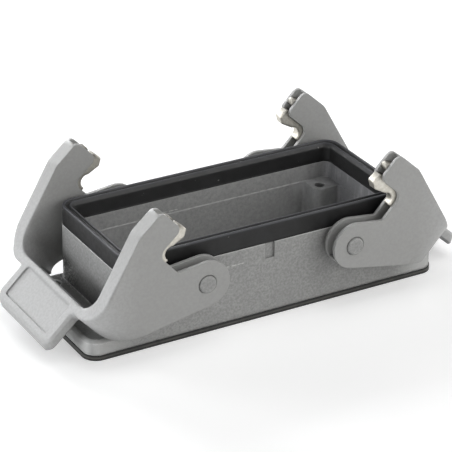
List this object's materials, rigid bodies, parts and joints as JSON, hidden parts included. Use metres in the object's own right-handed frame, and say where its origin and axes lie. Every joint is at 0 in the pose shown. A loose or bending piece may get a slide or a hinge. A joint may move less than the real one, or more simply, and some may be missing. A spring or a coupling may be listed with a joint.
{
  "type": "heavy duty rectangular connector housing",
  "caption": "Open bulkhead housing for a heavy duty rectangular connector, with a sealed rim, a screw-down flange and two locking levers with steel hooks.",
  "frame": {"origin": "on the panel surface, at the middle of the underside of the flange seal", "axes": "+X along the housing, +Y across it, +Z out of the panel towards the mating hood"},
  "size_m": [0.1392, 0.0588, 0.0451],
  "materials": {
    "die_cast": "grey powder coat on die-cast aluminium, fine grain",
    "seal_rubber": "matt black rubber",
    "lever_plastic": "light grey moulded plastic, satin",
    "hook_steel": "bright stamped stainless steel"
  },
  "bodies": {
    "housing": {"housing": "die_cast", "rim_seal": "seal_rubber", "flange_seal": "seal_rubber"},
    "lever_right": {"lever_right": "lever_plastic", "hook_plate_right_front": "hook_steel", "hook_plate_right_back": "hook_steel"},
    "lever_left": {"lever_left": "lever_plastic", "hook_plate_left_front": "hook_steel", "hook_plate_left_back": "hook_steel"}
  },
  "joints": [
    {"name": "lever_right_pivot", "type": "hinge", "parent": "housing", "child": "lever_right", "pos_m": [0.0246, 0, 0.02], "axis": [0, -1, 0], "range_deg": [0, 40]},
    {"name": "lever_left_pivot", "type": "hinge", "parent": "housing", "child": "lever_left", "pos_m": [-0.0246, 0, 0.02], "axis": [0, 1, 0], "range_deg": [0, 40]}
  ]
}
